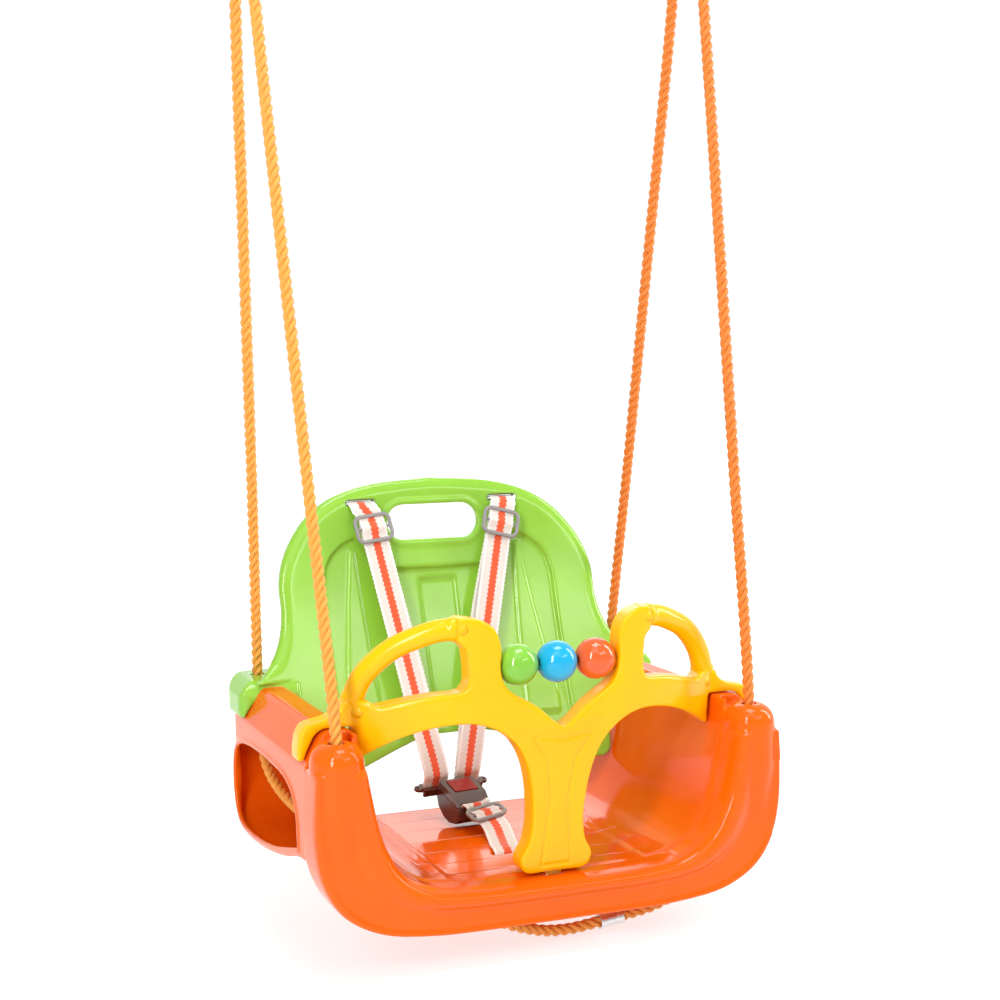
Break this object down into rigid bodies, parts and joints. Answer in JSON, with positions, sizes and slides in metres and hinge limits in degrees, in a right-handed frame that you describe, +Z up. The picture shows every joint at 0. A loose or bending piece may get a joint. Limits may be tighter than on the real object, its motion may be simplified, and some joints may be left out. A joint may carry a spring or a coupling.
{
  "type": "toddler bucket swing",
  "caption": "Moulded toddler swing seat on a rope loop, with a leaning backrest, lift-off play guard with spinning beads and grips, and a buckled webbing harness.",
  "frame": {"origin": "middle of the hang line, halfway between the two hanging rings, on the axis the swing turns about", "axes": "+Z up; the open front and the play guard face -Y; X runs along the hang line from ring to ring"},
  "size_m": [0.49, 0.3465, 0.9501],
  "materials": {
    "orange_plastic": "glossy",
    "green_plastic": "glossy",
    "yellow_plastic": "glossy",
    "bead_green": "polished",
    "bead_blue": "polished",
    "bead_red": "polished",
    "steel_pin": "satin",
    "rope": "laid fibre",
    "ferrule_steel": "crimped",
    "ring_steel": "zinc plated",
    "buckle_brown": "glossy",
    "button_red": "glossy",
    "webbing": "woven",
    "adjuster_grey": "satin"
  },
  "bodies": {
    "hangers": {"left_hanging_ring": "ring_steel", "right_hanging_ring": "ring_steel"},
    "swing": {"seat_shell": "orange_plastic", "backrest": "green_plastic", "left_thimble": "ring_steel", "right_thimble": "ring_steel", "suspension_rope": "rope", "rope_ferrule": "ferrule_steel", "left_shoulder_strap": "webbing", "right_shoulder_strap": "webbing", "crotch_strap": "webbing", "left_strap_anchor": "adjuster_grey", "right_strap_anchor": "adjuster_grey", "crotch_strap_anchor": "adjuster_grey", "buckle_base": "buckle_brown", "buckle_cover": "buckle_brown", "button_spring": "steel_pin"},
    "guard": {"play_guard": "yellow_plastic", "left_grip": "yellow_plastic", "right_grip": "yellow_plastic", "bead_axle": "steel_pin"},
    "green_bead": {"green_bead": "bead_green"},
    "blue_bead": {"blue_bead": "bead_blue"},
    "red_bead": {"red_bead": "bead_red"},
    "button": {"buckle_button": "button_red"},
    "left_tongue": {"left_tongue": "buckle_brown"},
    "right_tongue": {"right_tongue": "buckle_brown"},
    "left_adjuster": {"left_shoulder_adjuster": "adjuster_grey"},
    "right_adjuster": {"right_shoulder_adjuster": "adjuster_grey"},
    "crotch_adjuster": {"crotch_adjuster": "adjuster_grey"}
  },
  "joints": [
    {"name": "swing_hinge", "type": "hinge", "parent": "hangers", "child": "swing", "pos_m": [0, 0, 0], "axis": [1, 0, 0], "range_deg": [-40, 40]},
    {"name": "guard_lift", "type": "slide", "parent": "swing", "child": "guard", "axis": [0, 0.1977, 0.9803], "range_m": [0, 0.12]},
    {"name": "green_bead_spin", "type": "hinge", "parent": "guard", "child": "green_bead", "pos_m": [-0.0364, -0.171, -0.643], "axis": [1, 0, 0], "continuous": true},
    {"name": "blue_bead_spin", "type": "hinge", "parent": "guard", "child": "blue_bead", "pos_m": [0, -0.171, -0.643], "axis": [1, 0, 0], "continuous": true},
    {"name": "red_bead_spin", "type": "hinge", "parent": "guard", "child": "red_bead", "pos_m": [0.0364, -0.171, -0.643], "axis": [1, 0, 0], "continuous": true},
    {"name": "button_press", "type": "slide", "parent": "swing", "child": "button", "axis": [-0.043, 0.306, -0.9511], "range_m": [0, 0.0022], "stiffness_N_per_m": 400, "deforming": ["button_spring"]},
    {"name": "left_tongue_release", "type": "slide", "parent": "swing", "child": "left_tongue", "axis": [-0.1324, 0.9418, 0.309], "range_m": [0, 0.025], "deforming": ["left_shoulder_strap"]},
    {"name": "right_tongue_release", "type": "slide", "parent": "swing", "child": "right_tongue", "axis": [-0.1324, 0.9418, 0.309], "range_m": [0, 0.025], "deforming": ["right_shoulder_strap"]},
    {"name": "left_adjuster_slide", "type": "slide", "parent": "swing", "child": "left_adjuster", "axis": [0.131, -0.3326, -0.9339], "range_m": [0, 0.06], "deforming": ["left_shoulder_strap"]},
    {"name": "right_adjuster_slide", "type": "slide", "parent": "swing", "child": "right_adjuster", "axis": [-0.2656, -0.3066, -0.914], "range_m": [0, 0.06], "deforming": ["right_shoulder_strap"]},
    {"name": "crotch_adjuster_slide", "type": "slide", "parent": "swing", "child": "crotch_adjuster", "axis": [0.1767, -0.9422, -0.2846], "range_m": [0, 0.008], "deforming": ["crotch_strap"]}
  ]
}
